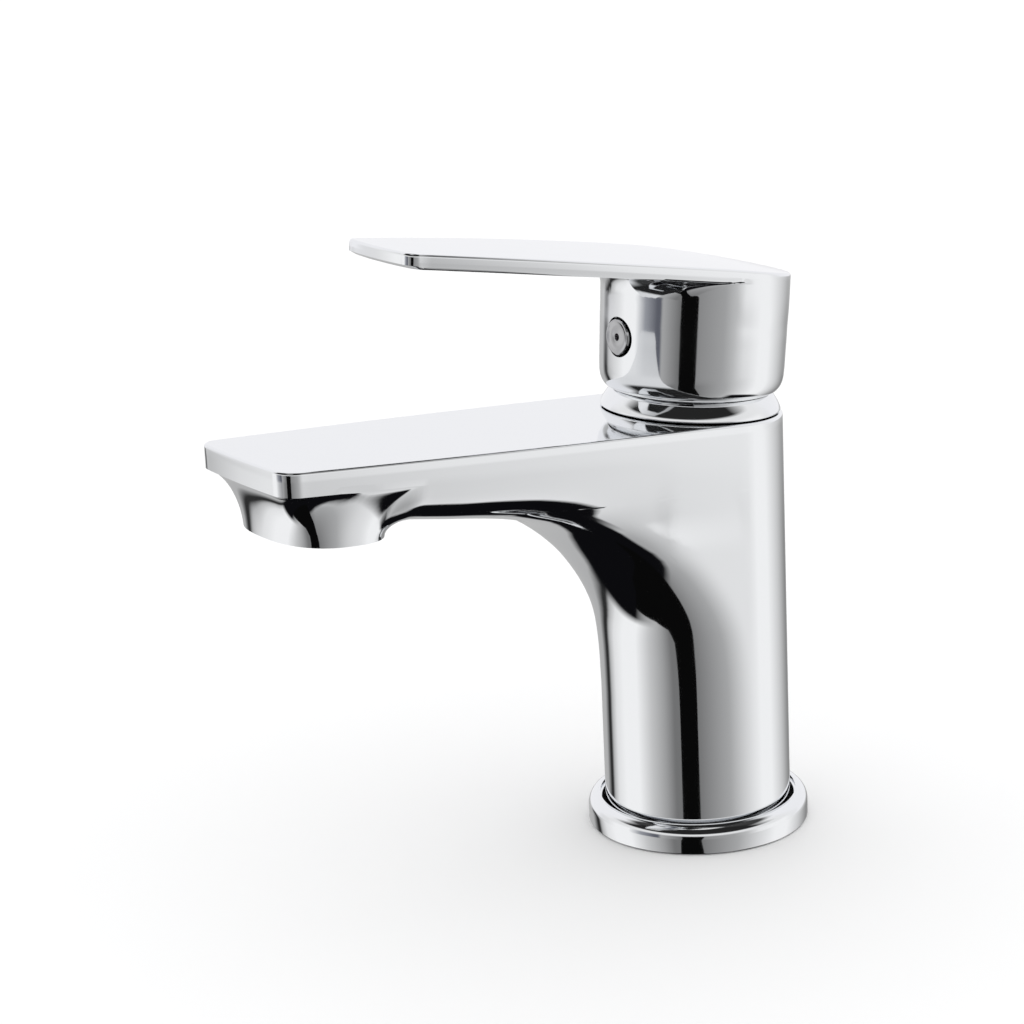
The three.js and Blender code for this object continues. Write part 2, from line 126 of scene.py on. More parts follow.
def smooth(low, high, x):
    t = min(1.0, max(0.0, (x - low) / (high - low)))
    return t * t * (3 - 2 * t)


# The keel: how far forward the casting reaches, and the height of its lowest line there
KEEL_REACH = [23.2, 23.35, 23.6, 24.4, 25.4, 27.0, 29.1, 31.7, 34.7, 38.5, 43.5, 50, 60, 70, 80, 90]
KEEL_Z = [36, 42, 47, 54, 58, 62, 66, 70, 74, 78, 82.4, 87, 91.5, 94, 96, 98]


def keel_depth(reach):
    return top_z(-reach) - between(reach, KEEL_REACH, KEEL_Z)


def spout_half(y):
    t = min(1.0, max(0.0, -y / SPOUT_REACH))
    return COLUMN_R + (SPOUT_TIP_HALF - COLUMN_R) * t**SPOUT_TAPER


def belly_square(y):
    return between(-y, [24, 40, 60, 80], [2.2, 2.5, 3.1, 3.4])


def slice_half(y, depth, reach):
    """Half the casting's width at y, on a slice at this depth below the sloping top."""
    floor = keel_depth(-y) if y < -COLUMN_R else keel_depth(COLUMN_R) + 2 * (COLUMN_R + y)
    square = belly_square(y)
    sunk = min(1.0, max(0.0, (depth - BAND_HIGH) / (floor - BAND_HIGH)))
    belly = spout_half(y) * max(0.0, 1 - sunk**square) ** (1 / square)
    past = max(0.0, -(reach - COLUMN_R) - y)
    post = math.sqrt(max(0.0, COLUMN_R**2 - past * past))
    return belly + (post - belly) * smooth(*POST_DEPTHS, depth)


def sheet(bm, columns, rows, place):
    """Lays a grid of faces on a surface: place(u, v) gives a point for u and v from 0 to 1."""
    made = bmesh.ops.create_grid(bm, x_segments=columns, y_segments=rows, size=0.5)
    for vert in made["verts"]:
        u = round((vert.co.x + 0.5) * columns) / columns
        v = round((vert.co.y + 0.5) * rows) / rows
        vert.co = place(u, v)


SHARP = math.radians(35)  # an edge that folds more than this stays crisp


def solid_from(bm, name, matrix=None, mirror=True):
    """Closes the sheets into one solid at the origin, after a half is doubled over its mirror plane."""
    if mirror:
        for vert in bm.verts:
            if abs(vert.co.x) < 1e-4:
                vert.co.x = 0
        geometry = bm.verts[:] + bm.edges[:] + bm.faces[:]
        bmesh.ops.mirror(bm, geom=geometry, axis="X", merge_dist=1e-4)
    bmesh.ops.remove_doubles(bm, verts=bm.verts, dist=2e-3)
    bmesh.ops.dissolve_degenerate(bm, edges=bm.edges, dist=1e-4)
    bmesh.ops.recalc_face_normals(bm, faces=bm.faces)
    bmesh.ops.transform(bm, verts=bm.verts, matrix=Matrix.Scale(MM, 4) @ (matrix or Matrix()))
    for face in bm.faces:
        face.smooth = True
    for edge in bm.edges:
        edge.smooth = edge.calc_face_angle(0) < SHARP
    mesh = bpy.data.meshes.new(name)
    bm.to_mesh(mesh)
    bm.free()
    piece = bpy.data.objects.new(name, mesh)
    bpy.context.scene.collection.objects.link(piece)
    return piece


REAR, SIDE, TIP, CROSSING = 28, 44, 40, 16  # faces along each stretch of the half outline
TIP_SIDE_END = 0.35  # shares of the tip's stretch: the side ends here,
TIP_CORNER_END = 0.75  # and the corner here


def tip_outline(t):
    """From the crossing, along the side, round the corner and over the bowed front to the middle."""
    corner_y = -(SPOUT_REACH - TIP_BOW - TIP_CORNER_R)
    corner_x = spout_half(corner_y) - TIP_CORNER_R
    if t <= TIP_SIDE_END:
        y = CROSSING_Y + (corner_y - CROSSING_Y) * t / TIP_SIDE_END
        return spout_half(y), y
    if t <= TIP_CORNER_END:
        angle = (t - TIP_SIDE_END) / (TIP_CORNER_END - TIP_SIDE_END) * math.pi / 2
        return corner_x + TIP_CORNER_R * math.cos(angle), corner_y - TIP_CORNER_R * math.sin(angle)
    x = corner_x * (1 - t) / (1 - TIP_CORNER_END)
    return x, -SPOUT_REACH + TIP_BOW * (x / corner_x) ** 2


def rim_outline(u):
    """Half of the casting's plan from the rear, by the side, to the front of the spout."""
    index = u * (REAR + SIDE + TIP)
    if index <= REAR:
        angle = index / REAR * math.pi / 2
        return COLUMN_R * math.sin(angle), COLUMN_R * math.cos(angle)
    if index <= REAR + SIDE:
        y = CROSSING_Y * (index - REAR) / SIDE
        return spout_half(y), y
    return tip_outline((index - REAR - SIDE) / TIP)


def inward(outline, u, distance):
    """The outline's point moved in, square to the outline."""
    x, y = outline(u)
    nudge = 0.002
    ax, ay = outline(max(0.0, u - nudge))
    bx, by = outline(min(1.0, u + nudge))
    along = Vector((bx - ax, by - ay)).normalized()
    x, y = x + along.y * distance, y - along.x * distance
    return max(0.0, x), y


def crossing_row(k):
    """Where the belly's k-th row ends, behind the boss: its half width, y and depth."""
    share = math.cos(k / CROSSING * math.pi / 2) ** CROSSING_CROWD
    square = belly_square(CROSSING_Y)
    depth = BAND_HIGH + (keel_depth(-CROSSING_Y) - BAND_HIGH) * (1 - share**square) ** (1 / square)
    y = CROSSING_Y - CROSSING_BEND * smooth(0, 6, k) * (1 - smooth(9, CROSSING, k))
    half = slice_half(y, depth, BELLY_REACH) if k < CROSSING else 0.0
    return half, y, depth


# How far forward the keel reaches at each row of faces below the boss, closer together where the throat bends
LOWER_REACH = [85, 80, 74, 68, 62, 57, 53, 49.5, 46.5, 43.5, 41, 38.5, 36.5, 34.7, 33.1, 31.7, 30.3, 29.1,
               28, 27, 26.1, 25.4, 24.9, 24.4, 24, 23.75, 23.6, 23.45, 23.35, 23.2]
UNDER_ROWS = CROSSING + len(LOWER_REACH)


def under_point(u, v):
    """A point of the belly, throat and column, on the slice of its row."""
    row = round(v * UNDER_ROWS)
    if row <= CROSSING:
        end_x, end_y, depth = crossing_row(row)
        reach = BELLY_REACH
        crowd = row / CROSSING
    else:
        reach = LOWER_REACH[row - CROSSING - 1]
        depth = keel_depth(reach)
        end_x, end_y = 0.0, -reach
        crowd = 1.0
    index = u * (REAR + SIDE)
    if index <= REAR:
        angle = index / REAR * math.pi / 2
        x, y = COLUMN_R * math.sin(angle), COLUMN_R * math.cos(angle)
    else:
        t = (index - REAR) / SIDE
        y = end_y * (t + (math.sin(t * math.pi / 2) - t) * crowd)
        x = end_x if t == 1 else slice_half(y, depth, reach)
    return Vector((x, y, top_z(y) - depth))


def boss_outline(angle):
    """Half plan of the boss from its front (angle 0) by the side to its rear (angle pi)."""
    s, c = abs(math.sin(angle)) / BOSS_HALF[0], abs(math.cos(angle)) / BOSS_HALF[1]
    reach = (s**BOSS_SQUARE + c**BOSS_SQUARE) ** (-1 / BOSS_SQUARE)
    return reach * math.sin(angle), BOSS_CENTRE_Y - reach * math.cos(angle)


def boss_angle(u):
    """Which point of the boss's rim a line down its wall ends on."""
    marks = [0, TIP * 0.25, TIP * 0.65, TIP, TIP + 6, TIP + 10, TIP + CROSSING]
    return between(u * (TIP + CROSSING), marks, [0, 0.7, 1.05, 1.85, 2.15, 2.5, math.pi])


def boss_point(u, v):
    """The boss's wall: from the band's lower edge, or from the belly's end, by a hollow curve to its rim."""
    index = u * (TIP + CROSSING)
    if index <= TIP:
        x, y = tip_outline(1 - index / TIP)
        depth = BAND_HIGH
        flush = smooth(0.6, 0.88, index / TIP)  # the sides leave the band without a step
    else:
        x, y, depth = crossing_row(round(index - TIP))
        flush = 1.0
    bx, by = boss_outline(boss_angle(u))
    swing = v * math.pi / 2
    hollow = BOSS_ROUND * math.sin(swing) + (1 - BOSS_ROUND) * v
    drop = BOSS_ROUND * (1 - math.cos(swing)) + (1 - BOSS_ROUND) * v
    x += (bx - x) * (hollow + (smooth(0, 1, v) - hollow) * flush)
    y += (by - y) * hollow
    return Vector((x, y, top_z(y) - (depth + (BOSS_DEEP - depth) * drop)))


def circle_point(centre_y, radius, angle):
    return radius * math.sin(angle), centre_y - radius * math.cos(angle)


def body_casting():
    bm = bmesh.new()
    around = REAR + SIDE + TIP

    def rim_margin(u, v):
        x, y = inward(rim_outline, u, RIM_R + 0.3 * v)
        return Vector((x, y, top_z(y)))

    def top_face(u, v):
        x, y = inward(rim_outline, u, RIM_R + 0.3)
        angle = between(u, [0, REAR / around, 1], [math.pi, 1.4, 0])
        cx, cy = circle_point(0, CHAMBER_R, angle)
        cy = HEAD.y + cy
        x, y = x + (cx - x) * v, y + (cy - y) * v
        return Vector((x, y, top_z(y)))

    def rim(u, v):
        swing = v * math.pi / 2
        x, y = inward(rim_outline, u, RIM_R * (1 - math.sin(swing)))
        return Vector((x, y, top_z(y) - RIM_R * (1 - math.cos(swing))))

    def band(u, v):
        x, y = rim_outline(u)
        return Vector((x, y, top_z(y) - RIM_R - (BAND_HIGH - RIM_R) * v))

    def column_end(u, v):
        start = under_point(u, 1)
        return start.lerp(Vector((start.x, start.y, FOOT_Z)), v)

    def foot(u, v):
        start = under_point(u, 1)
        scale = 1 + (FOOT_HOLLOW_R / COLUMN_R - 1) * v
        return Vector((start.x * scale, start.y * scale, FOOT_Z))

    def hollow(u, v):
        start = foot(u, 1)
        return Vector((start.x, start.y, FOOT_Z + (FOOT_ROOF_Z - FOOT_Z) * v))

    def roof(u, v):
        start = foot(u, 1)
        return Vector((start.x * (1 - v), start.y * (1 - v), FOOT_ROOF_Z))

    def chamber(u, v):
        start = top_face(u, 1)
        down = Vector((0, -math.sin(TILT), -math.cos(TILT))) * CHAMBER_DEEP
        return start + down * v

    def chamber_floor(u, v):
        centre = HEAD + Vector((0, -math.sin(TILT), -math.cos(TILT))) * CHAMBER_DEEP
        return chamber(u, 1).lerp(centre, v)

    def boss_rim(u, v):
        start = boss_point(u, 1)
        x, y = circle_point(BOSS_CENTRE_Y, AERATOR_BORE_R, boss_angle(u))
        return start.lerp(Vector((x, y, top_z(y) - BOSS_DEEP)), v)

    def aerator_bore(u, v):
        up = Vector((0, math.sin(TILT), math.cos(TILT))) * AERATOR_BORE_DEEP
        return boss_rim(u, 1) + up * v

    def bore_roof(u, v):
        centre = Vector((0, BOSS_CENTRE_Y, top_z(BOSS_CENTRE_Y) - BOSS_DEEP))
        centre += Vector((0, math.sin(TILT), math.cos(TILT))) * AERATOR_BORE_DEEP
        return aerator_bore(u, 1).lerp(centre, v)

    sheet(bm, around, 6, top_face)
    sheet(bm, around, 1, rim_margin)
    sheet(bm, around, 4, rim)
    sheet(bm, around, 3, band)
    sheet(bm, REAR + SIDE, UNDER_ROWS, under_point)
    for rows, place in ((8, column_end), (1, foot), (2, hollow), (2, roof)):
        sheet(bm, REAR + SIDE, rows, place)
    sheet(bm, around, 2, chamber)
    sheet(bm, around, 1, chamber_floor)
    sheet(bm, TIP + CROSSING, 14, boss_point)
    for rows, place in ((1, boss_rim), (2, aerator_bore), (1, bore_roof)):
        sheet(bm, TIP + CROSSING, rows, place)
    return solid_from(bm, "mixer_body")


def chrome(name, tint=(0.86, 0.87, 0.885)):
    """Bright chromium over polished metal: almost a mirror, with the faint swirl and ripple of buffing."""
    made = bpy.data.materials.new(name)
    made.use_nodes = True
    nodes, links = made.node_tree.nodes, made.node_tree.links
    shader = nodes["Principled BSDF"]
    shader.inputs["Metallic"].default_value = 1.0
    coords = nodes.new("ShaderNodeTexCoord")
    haze = nodes.new("ShaderNodeTexNoise")
    haze.inputs["Scale"].default_value = 45
    haze.inputs["Detail"].default_value = 5
    links.new(coords.outputs["Object"], haze.inputs["Vector"])
    rough = nodes.new("ShaderNodeMapRange")
    rough.inputs["From Min"].default_value = 0.35
    rough.inputs["From Max"].default_value = 0.7
    rough.inputs["To Min"].default_value = 0.035
    rough.inputs["To Max"].default_value = 0.075
    links.new(haze.outputs["Fac"], rough.inputs["Value"])
    links.new(rough.outputs["Result"], shader.inputs["Roughness"])
    colour = nodes.new("ShaderNodeMapRange")
    colour.data_type = "FLOAT_VECTOR"
    # in vector mode, inputs 6, 9 and 10 are the value and the ends of the range that it is turned into
    colour.inputs[9].default_value = [c * 0.985 for c in tint]
    colour.inputs[10].default_value = tint
    links.new(haze.outputs["Fac"], colour.inputs[6])
    links.new(colour.outputs[1], shader.inputs["Base Color"])
    ripple = nodes.new("ShaderNodeTexNoise")
    ripple.inputs["Scale"].default_value = 70
    ripple.inputs["Detail"].default_value = 1
    links.new(coords.outputs["Object"], ripple.inputs["Vector"])
    bump = nodes.new("ShaderNodeBump")
    bump.inputs["Strength"].default_value = 0.03
    bump.inputs["Distance"].default_value = 0.0004
    links.new(ripple.outputs["Fac"], bump.inputs["Height"])
    links.new(bump.outputs["Normal"], shader.inputs["Normal"])
    return made


body = body_casting()
body.data.materials.append(chrome("chrome_on_brass"))
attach(body, "body")
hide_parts("body_casting")

# --- Base ring ------------------------------------------------------------------------------------
# A turned brass ring, chromium plated, dropped over the column's foot. Its top edge is fully rounded, and a
# small step runs round the bore, where it meets the column.
RING_R = 27.5
RING_HIGH = 7.0
RING_ROUND = 3.0
RING_BORE_R = 24.1
SEAL_R = 25.7
TURN_STEPS = 128


def arc(centre, radius, start, end, steps):
    """Points of an arc in a turned section, each a radius from the axis and a height."""
    points = []
    for i in range(steps + 1):
        angle = math.radians(start + (end - start) * i / steps)
        points.append((centre[0] + radius * math.cos(angle), centre[1] + radius * math.sin(angle)))
    return points


def turned_piece(name, section, matrix=None):
    """Turns a closed section about the Z axis: each point is a radius and a height."""
    bm = bmesh.new()
    verts = [bm.verts.new((r, 0, z)) for r, z in section]
    edges = [bm.edges.new(pair) for pair in zip(verts, verts[1:] + verts[:1])]
    bmesh.ops.spin(bm, geom=verts + edges, cent=(0, 0, 0), axis=(0, 0, 1), angle=2 * math.pi,
                   steps=TURN_STEPS, use_merge=True)
    return solid_from(bm, name, matrix=matrix, mirror=False)


ring = turned_piece("foot_ring", [
    (SEAL_R, 0.2), (RING_R - 0.4, 0.2), *arc((RING_R - 0.4, 0.6), 0.4, -60, 0, 3),
    *arc((RING_R - RING_ROUND, RING_HIGH - RING_ROUND), RING_ROUND, 0, 90, 16),
    (RING_BORE_R + 0.9, RING_HIGH), (RING_BORE_R + 0.75, RING_HIGH - 0.12),
    (RING_BORE_R + 0.6, RING_HIGH - 1.0), (RING_BORE_R + 0.1, RING_HIGH - 1.1),
    (RING_BORE_R, RING_HIGH - 1.2), (RING_BORE_R, FOOT_Z), (SEAL_R, FOOT_Z),
])
ring.data.materials.append(chrome("chrome_on_ring"))
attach(ring, "body")
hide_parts("base_ring")

# --- Cap ------------------------------------------------------------------------------------------
# A pressed brass dome over the cartridge nut, chromium plated. Its lower flare shows under the handle. The
# crown is part of a ball about the lever's pivot, so that the handle can tilt over it.
PIVOT_Z = -15.4
DOME_R = 28.0
DOME_WALL = 1.6
DOME_HOLE_R = 11.5


def zone(radius, start, end, steps):
    """An arc of the dome's ball between two distances from the axis."""
    angles = [math.degrees(math.acos(r / radius)) for r in (start, end)]
    return arc((0, PIVOT_Z), radius, *angles, steps)


cap = turned_piece("dome_cap", [
    (19.7, 0.3), (21.7, 0.3), *arc((21.6, 0.6), 0.3, -60, 20, 4), (21.7, 1.2), (21.35, 2.0), (20.85, 2.8),
    (20.25, 3.7), *zone(DOME_R, 19.4, DOME_HOLE_R, 14),
    *zone(DOME_R - DOME_WALL, DOME_HOLE_R, 18.6, 8), (19.3, 2.4),
], HEAD_TURN)
cap.data.materials.append(chrome("chrome_on_cap"))
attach(cap, "body")
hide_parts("cap")

# --- Handle ---------------------------------------------------------------------------------------
# A zinc die casting, chromium plated: a round skirt over the cap, flush at the rear with a long flat lever
# that tapers to its tip. The lever's underside runs into the skirt's front by a hollow curve.
SKIRT_TOP_R = 22.8
SKIRT_R = 22.4
SKIRT_BOTTOM = 5.0
SKIRT_TURN_Z = 12.0
SKIRT_WALL = 11.0
CEILING_Z = 28.5
LEVER_REACH = 91.5
LEVER_TIP_HALF = 13.0
LEVER_TAPER = 1.8
LEVER_CORNER_R = 3.2
LEVER_BOW = 0.9
LEVER_THICK = 3.5
LEVER_RIM_R = 0.8
LEVER_EDGE_R = 0.8
LEVER_FILLET_R = 5.5
STEM_LEAN = math.radians(12)
PLUG_Z = 18.9
PLUG_HOLE_R = 4.85
HANDLE_REAR, HANDLE_SIDE, HANDLE_TIP = 30, 56, 26


def lever_top(y):
    droop = 0.0009 * max(0.0, y + 10) ** 2
    return 36.5 - 0.111 * y - 0.0002 * y * y - droop


def lever_half(y):
    return SKIRT_TOP_R - (SKIRT_TOP_R - LEVER_TIP_HALF) * max(0.0, -y / LEVER_REACH) ** LEVER_TAPER


def lever_outline(u):
    """Half plan of the lever from the rear of the skirt, by its side, to the middle of the tip."""
    index = u * (HANDLE_REAR + HANDLE_SIDE + HANDLE_TIP)
    if index <= HANDLE_REAR:
        angle = index / HANDLE_REAR * math.pi / 2
        return SKIRT_TOP_R * math.sin(angle), SKIRT_TOP_R * math.cos(angle)
    corner_y = -(LEVER_REACH - LEVER_BOW - LEVER_CORNER_R)
    corner_x = lever_half(corner_y) - LEVER_CORNER_R
    if index <= HANDLE_REAR + HANDLE_SIDE:
        t = (index - HANDLE_REAR) / HANDLE_SIDE
        y = corner_y * (0.45 * t + 0.55 * t * t)
        return lever_half(y), y
    t = (index - HANDLE_REAR - HANDLE_SIDE) / HANDLE_TIP
    if t <= 0.5:
        angle = t * math.pi
        return corner_x + LEVER_CORNER_R * math.cos(angle), corner_y - LEVER_CORNER_R * math.sin(angle)
    x = corner_x * (1 - t) * 2
    return x, -LEVER_REACH + LEVER_BOW * (x / corner_x) ** 2


def skirt_radius(z):
    heights = [SKIRT_BOTTOM, 5.5, 6.4, 7.6, 9.0, 11, 34]
    return between(z, heights, [19.9, 20.8, 21.55, 22.05, 22.3, SKIRT_R, SKIRT_TOP_R])


def under_path(overhang, share, wall):
    """Where a line down the handle's side is: how far in to the skirt, and how far below the band."""
    edge = min(LEVER_EDGE_R, overhang / 2)
    fillet = min(LEVER_FILLET_R, (overhang - edge) * 0.8)
    flat = overhang - edge - fillet
    lengths = (edge * math.pi / 2, flat, fillet * math.pi / 2, wall - fillet)
    way = share * sum(lengths)
    if way <= lengths[0] and edge > 0:
        angle = way / edge
        return edge * (1 - math.cos(angle)), edge * math.sin(angle)
    way -= lengths[0]
    if way <= flat:
        return edge + way, edge
    way -= flat
    if way <= lengths[2] and fillet > 0:
        angle = way / fillet
        return edge + flat + fillet * math.sin(angle), edge + fillet * (1 - math.cos(angle))
    return overhang, edge + fillet + way - lengths[2]


def handle_casting():
    bm = bmesh.new()
    around = HANDLE_REAR + HANDLE_SIDE + HANDLE_TIP

    def flat_top(u, v):
        x, y = inward(lever_outline, u, LEVER_RIM_R + 0.3)
        spine = SKIRT_TOP_R - 1 - (SKIRT_TOP_R + LEVER_REACH - 2) * u
        x, y = x * (1 - v), y + (spine - y) * v
        return Vector((x, y, lever_top(y)))

    def rim_margin(u, v):
        x, y = inward(lever_outline, u, LEVER_RIM_R + 0.3 * v)
        return Vector((x, y, lever_top(y)))

    def rim(u, v):
        swing = v * math.pi / 2
        x, y = inward(lever_outline, u, LEVER_RIM_R * (1 - math.sin(swing)))
        return Vector((x, y, lever_top(y) - LEVER_RIM_R * (1 - math.cos(swing))))

    def edge_band(u, v):
        x, y = lever_outline(u)
        return Vector((x, y, lever_top(y) - LEVER_RIM_R - (LEVER_THICK - LEVER_RIM_R - LEVER_EDGE_R) * v))

    def underside(u, v):
        x, y = lever_outline(u)
        reach = math.hypot(x, y)
        overhang = max(0.0, reach - SKIRT_TOP_R)
        inwards, down = under_path(overhang, v, SKIRT_WALL)
        scale = (reach - inwards) / reach
        x, y = x * scale, y * scale
        z = lever_top(y) - LEVER_THICK + LEVER_EDGE_R - down
        lean = smooth(0, 1, inwards / overhang if overhang > 0.3 else v)
        taper = 1 + (skirt_radius(z) / SKIRT_TOP_R - 1) * lean * smooth(0, SKIRT_WALL, down)
        return Vector((x * taper, y * taper, z))

    def skirt(u, v):
        start = underside(u, 1)
        z = start.z + (SKIRT_TURN_Z - start.z) * v
        angle = math.atan2(start.x, start.y)
        first = math.hypot(start.x, start.y)
        radius = first + (skirt_radius(z) - first) * smooth(0, 0.5, v)
        return Vector((radius * math.sin(angle), radius * math.cos(angle), z))

    def lower_edge(u, v):
        angle = math.atan2(skirt(u, 1).x, skirt(u, 1).y)
        z = SKIRT_TURN_Z + (SKIRT_BOTTOM - SKIRT_TURN_Z) * math.sin(v * math.pi / 2)
        return Vector((skirt_radius(z) * math.sin(angle), skirt_radius(z) * math.cos(angle), z))

    def inside(u, v):
        angle = math.atan2(skirt(u, 1).x, skirt(u, 1).y)
        radius = between(v, [0, 0.1, 0.25, 1], [19.9, 19.6, 20.4, 20.4])
        z = between(v, [0, 0.1, 0.25, 1], [SKIRT_BOTTOM, SKIRT_BOTTOM, 8, CEILING_Z])
        return Vector((radius * math.sin(angle), radius * math.cos(angle), z))

    def ceiling(u, v):
        start = inside(u, 1)
        return Vector((start.x * (1 - v), start.y * (1 - v), start.z))

    for rows, place in ((8, flat_top), (1, rim_margin), (4, rim), (2, edge_band), (36, underside),
                        (10, skirt), (14, lower_edge), (12, inside), (2, ceiling)):
        sheet(bm, around, rows, place)
    return solid_from(bm, "lever_handle", matrix=HEAD_TURN)


def cut(piece, cutter):
    """Takes the cutter's shape out of a piece, and uses the cutter up."""
    change = piece.modifiers.new("cut", "BOOLEAN")
    change.object = cutter
    change.solver = "EXACT"
    old = piece.data
    graph = bpy.context.evaluated_depsgraph_get()
    fresh = bpy.data.meshes.new_from_object(piece.evaluated_get(graph))
    piece.modifiers.clear()
    piece.data = fresh
    bpy.data.meshes.remove(old)
    bpy.data.objects.remove(cutter)
    bm = bmesh.new()
    bm.from_mesh(fresh)
    for edge in bm.edges:
        edge.smooth = edge.calc_face_angle(0) < SHARP
    bm.to_mesh(fresh)
    bm.free()


def forward_matrix(y, z):
    """Turns something made about the Z axis to face out of the handle's front at this height."""
    return HEAD_TURN @ Matrix.Translation((0, y, z)) @ Matrix.Rotation(math.pi / 2, 4, "X")


def drill(radius, near, far, z):
    """A round cutter that faces out of the handle's front, from near to far along Y."""
    bm = bmesh.new()
    bmesh.ops.create_cone(bm, cap_ends=True, segments=64, radius1=radius, radius2=radius, depth=near - far)
    return solid_from(bm, "drill", matrix=forward_matrix((near + far) / 2, z), mirror=False)


handle = handle_casting()
cut(handle, drill(PLUG_HOLE_R, -18.5, -27, PLUG_Z))
handle.data.materials.append(chrome("chrome_on_zinc"))
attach(handle, "lever")
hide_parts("handle")

# The stem's socket hangs inside the skirt, leaning forward with the stem
lean = HEAD_TURN @ Matrix.Translation((0, 0, PIVOT_Z)) @ Matrix.Rotation(STEM_LEAN, 4, "X")
socket = turned_piece("stem_socket", [(5.7, 30.5), (7.6, 30.5), (8, 30.9), (8, 44.5), (5.7, 44.5)], lean)
socket.data.materials.append(chrome("zinc_plain", (0.62, 0.63, 0.65)))
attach(socket, "lever")

# --- Index plug -----------------------------------------------------------------------------------
# A small bright button, pushed into the screw hole in the skirt's front. It is slightly domed, with a pin
# hole in the middle, and stands in the hole with a fine dark gap all round.
PLUG_R = 4.3
PLUG_PIN_R = 0.85
PLUG_FACE_Y = -22.3

plug = turned_piece("plug_button", [
    (PLUG_PIN_R, -2.5), (PLUG_R - 0.5, -2.5), (PLUG_R, -2.0), (PLUG_R, 0.35),
    *arc((PLUG_R - 0.4, 0.35), 0.4, 0, 110, 6),
    (3.2, 0.42), (2.6, 0.36), (1.6, 0.5), (1.1, 0.62), (0.9, 0.6), (PLUG_PIN_R, 0.5),
], forward_matrix(PLUG_FACE_Y, PLUG_Z))
# The plug's chrome is tinted a dark grey: painted shade, standing in for the dark reflections on its face
plug.data.materials.append(chrome("chrome_on_plug_painted_shade", (0.46, 0.46, 0.47)))
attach(plug, "lever")
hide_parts("index_plug")

# --- Seals ----------------------------------------------------------------------------------------
# Black moulded rubber: the foot seal under the column, the washer over the aerator, the ring in the cap and
# three small rings under the cartridge. Each is pressed in place and not glued.
def finish(name, tint, roughness, metallic=0.0, grain=60, relief=0.1, spread=0.15):
    """A plain finish with a fine grain: the colour, the shine and the surface all vary a little."""
    made = bpy.data.materials.new(name)
    made.use_nodes = True
    nodes, links = made.node_tree.nodes, made.node_tree.links
    shader = nodes["Principled BSDF"]
    shader.inputs["Metallic"].default_value = metallic
    coords = nodes.new("ShaderNodeTexCoord")
    noise = nodes.new("ShaderNodeTexNoise")
    noise.inputs["Scale"].default_value = grain
    noise.inputs["Detail"].default_value = 6
    links.new(coords.outputs["Object"], noise.inputs["Vector"])
    colour = nodes.new("ShaderNodeValToRGB")
    darker, lighter = colour.color_ramp.elements
    darker.position, lighter.position = 0.3, 0.7
    darker.color = (*(c * (1 - spread) for c in tint), 1)
    lighter.color = (*tint, 1)
    links.new(noise.outputs["Fac"], colour.inputs[0])
    links.new(colour.outputs[0], shader.inputs["Base Color"])
    shine = nodes.new("ShaderNodeMapRange")
    shine.inputs["To Min"].default_value = roughness * 0.85
    shine.inputs["To Max"].default_value = roughness * 1.15
    links.new(noise.outputs["Fac"], shine.inputs["Value"])
    links.new(shine.outputs["Result"], shader.inputs["Roughness"])
    bump = nodes.new("ShaderNodeBump")
    bump.inputs["Strength"].default_value = relief
    bump.inputs["Distance"].default_value = 0.0003
    links.new(noise.outputs["Fac"], bump.inputs["Height"])
    links.new(bump.outputs["Normal"], shader.inputs["Normal"])
    return made


def coat(material, *names):
    """Gives kept pieces their finish."""
    for name in names:
        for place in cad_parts[name].material_slots:
            place.material = material


coat(finish("moulded_rubber", (0.022, 0.022, 0.023), 0.72, grain=900, relief=0.35),
     "base_seal", "aerator_washer", "cap_o_ring", "hot_port_seal", "cold_port_seal", "outlet_port_seal")

# --- Aerator --------------------------------------------------------------------------------------
# A chromium plated sleeve screwed up into the boss, round an off-white moulded flow straightener and a fine
# steel screen. Only its lower rim and the honeycomb of holes show, from below.
coat(chrome("chrome_on_sleeve"), "aerator_sleeve")
coat(finish("moulded_straightener", (0.80, 0.80, 0.76), 0.42, grain=400, relief=0.15),
     "aerator_straightener")
coat(finish("woven_steel", (0.55, 0.56, 0.57), 0.32, metallic=1.0, grain=1500, relief=0.5),
     "aerator_screen")

# --- Cartridge ------------------------------------------------------------------------------------
# The valve: two lapped ceramic discs in a moulded housing on a dark foot. The steel stem drives a slider on
# them through a slotted turret and a cross pin. A turned brass nut screws the valve down.
coat(finish("moulded_acetal", (0.83, 0.83, 0.79), 0.45, grain=250, relief=0.12),
     "cartridge_housing", "stem_guide")
coat(finish("filled_nylon", (0.045, 0.05, 0.06), 0.5, grain=700, relief=0.3, spread=0.35),
     "cartridge_base", "disc_carrier")
coat(finish("lapped_alumina", (0.88, 0.86, 0.80), 0.16, grain=1200, relief=0.03, spread=0.06),
     "fixed_disc", "moving_disc")
coat(finish("turned_brass", (0.72, 0.55, 0.27), 0.30, metallic=1.0, grain=500, relief=0.2),
     "retaining_nut")
coat(finish("turned_steel", (0.56, 0.57, 0.58), 0.28, metallic=1.0, grain=650, relief=0.2),
     "stem", "stem_pin", "set_screw")

# --- Studio ---------------------------------------------------------------------------------------
# A pale floor in a white room. The chrome reflects a room of soft white, grey and black strips with a black
# board beside the lens; the lens itself sees plain white behind the mixer.
FLOOR_HALF = 3.0


